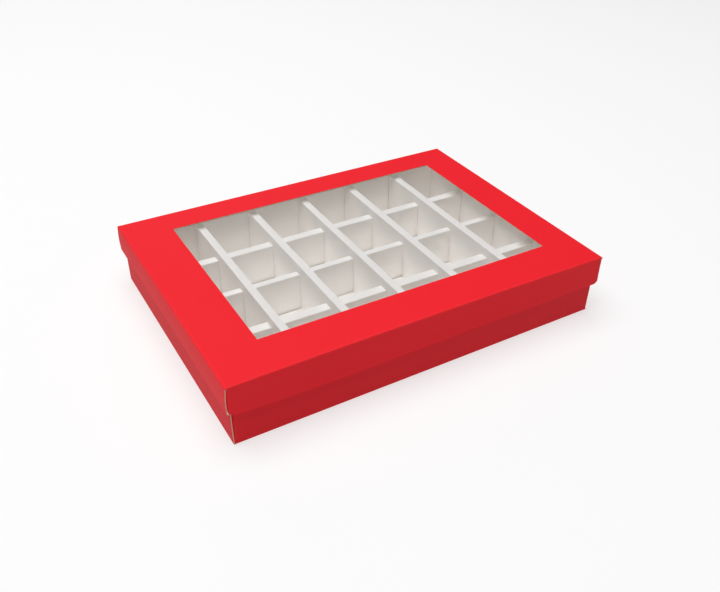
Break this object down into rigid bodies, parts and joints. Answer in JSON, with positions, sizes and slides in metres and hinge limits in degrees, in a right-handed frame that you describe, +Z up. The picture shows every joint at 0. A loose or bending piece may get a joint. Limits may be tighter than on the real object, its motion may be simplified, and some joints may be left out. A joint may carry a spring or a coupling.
{
  "type": "partitioned paperboard box",
  "caption": "Shallow two-piece folded paperboard box: a lid with a clear window drops over a tray whose two pleated card inserts lock into a grid of cells.",
  "frame": {"origin": "middle of the tray's underside, on the surface that the closed box stands on", "axes": "+X along the long side, +Z up through the lid's window, -Y towards the front long side"},
  "size_m": [0.251, 0.181, 0.0405],
  "materials": {
    "red_board": "satin coated board, red on its outer face",
    "white_card": "matte uncoated white card",
    "clear_film": "clear, glossy film",
    "glue": "translucent adhesive"
  },
  "bodies": {
    "tray": {"tray_blank": "red_board"},
    "cross_sheet": {"insert_cross_sheet": "white_card"},
    "long_sheet": {"insert_long_sheet": "white_card"},
    "lid": {"lid_blank": "red_board", "window_film": "clear_film", "window_glue_line": "glue"}
  },
  "joints": [
    {"name": "lid_lift", "type": "slide", "parent": "tray", "child": "lid", "axis": [0, 0, 1], "range_m": [0, 0.15]},
    {"name": "long_sheet_lift", "type": "slide", "parent": "tray", "child": "long_sheet", "axis": [0, 0, 1], "range_m": [0, 0.09]},
    {"name": "cross_sheet_lift", "type": "slide", "parent": "tray", "child": "cross_sheet", "axis": [0, 0, 1], "range_m": [0, 0.045]}
  ],
  "couplings": [
    {"joint": "long_sheet_lift", "follows": "lid_lift", "ratio": 0.6},
    {"joint": "cross_sheet_lift", "follows": "lid_lift", "ratio": 0.3}
  ]
}
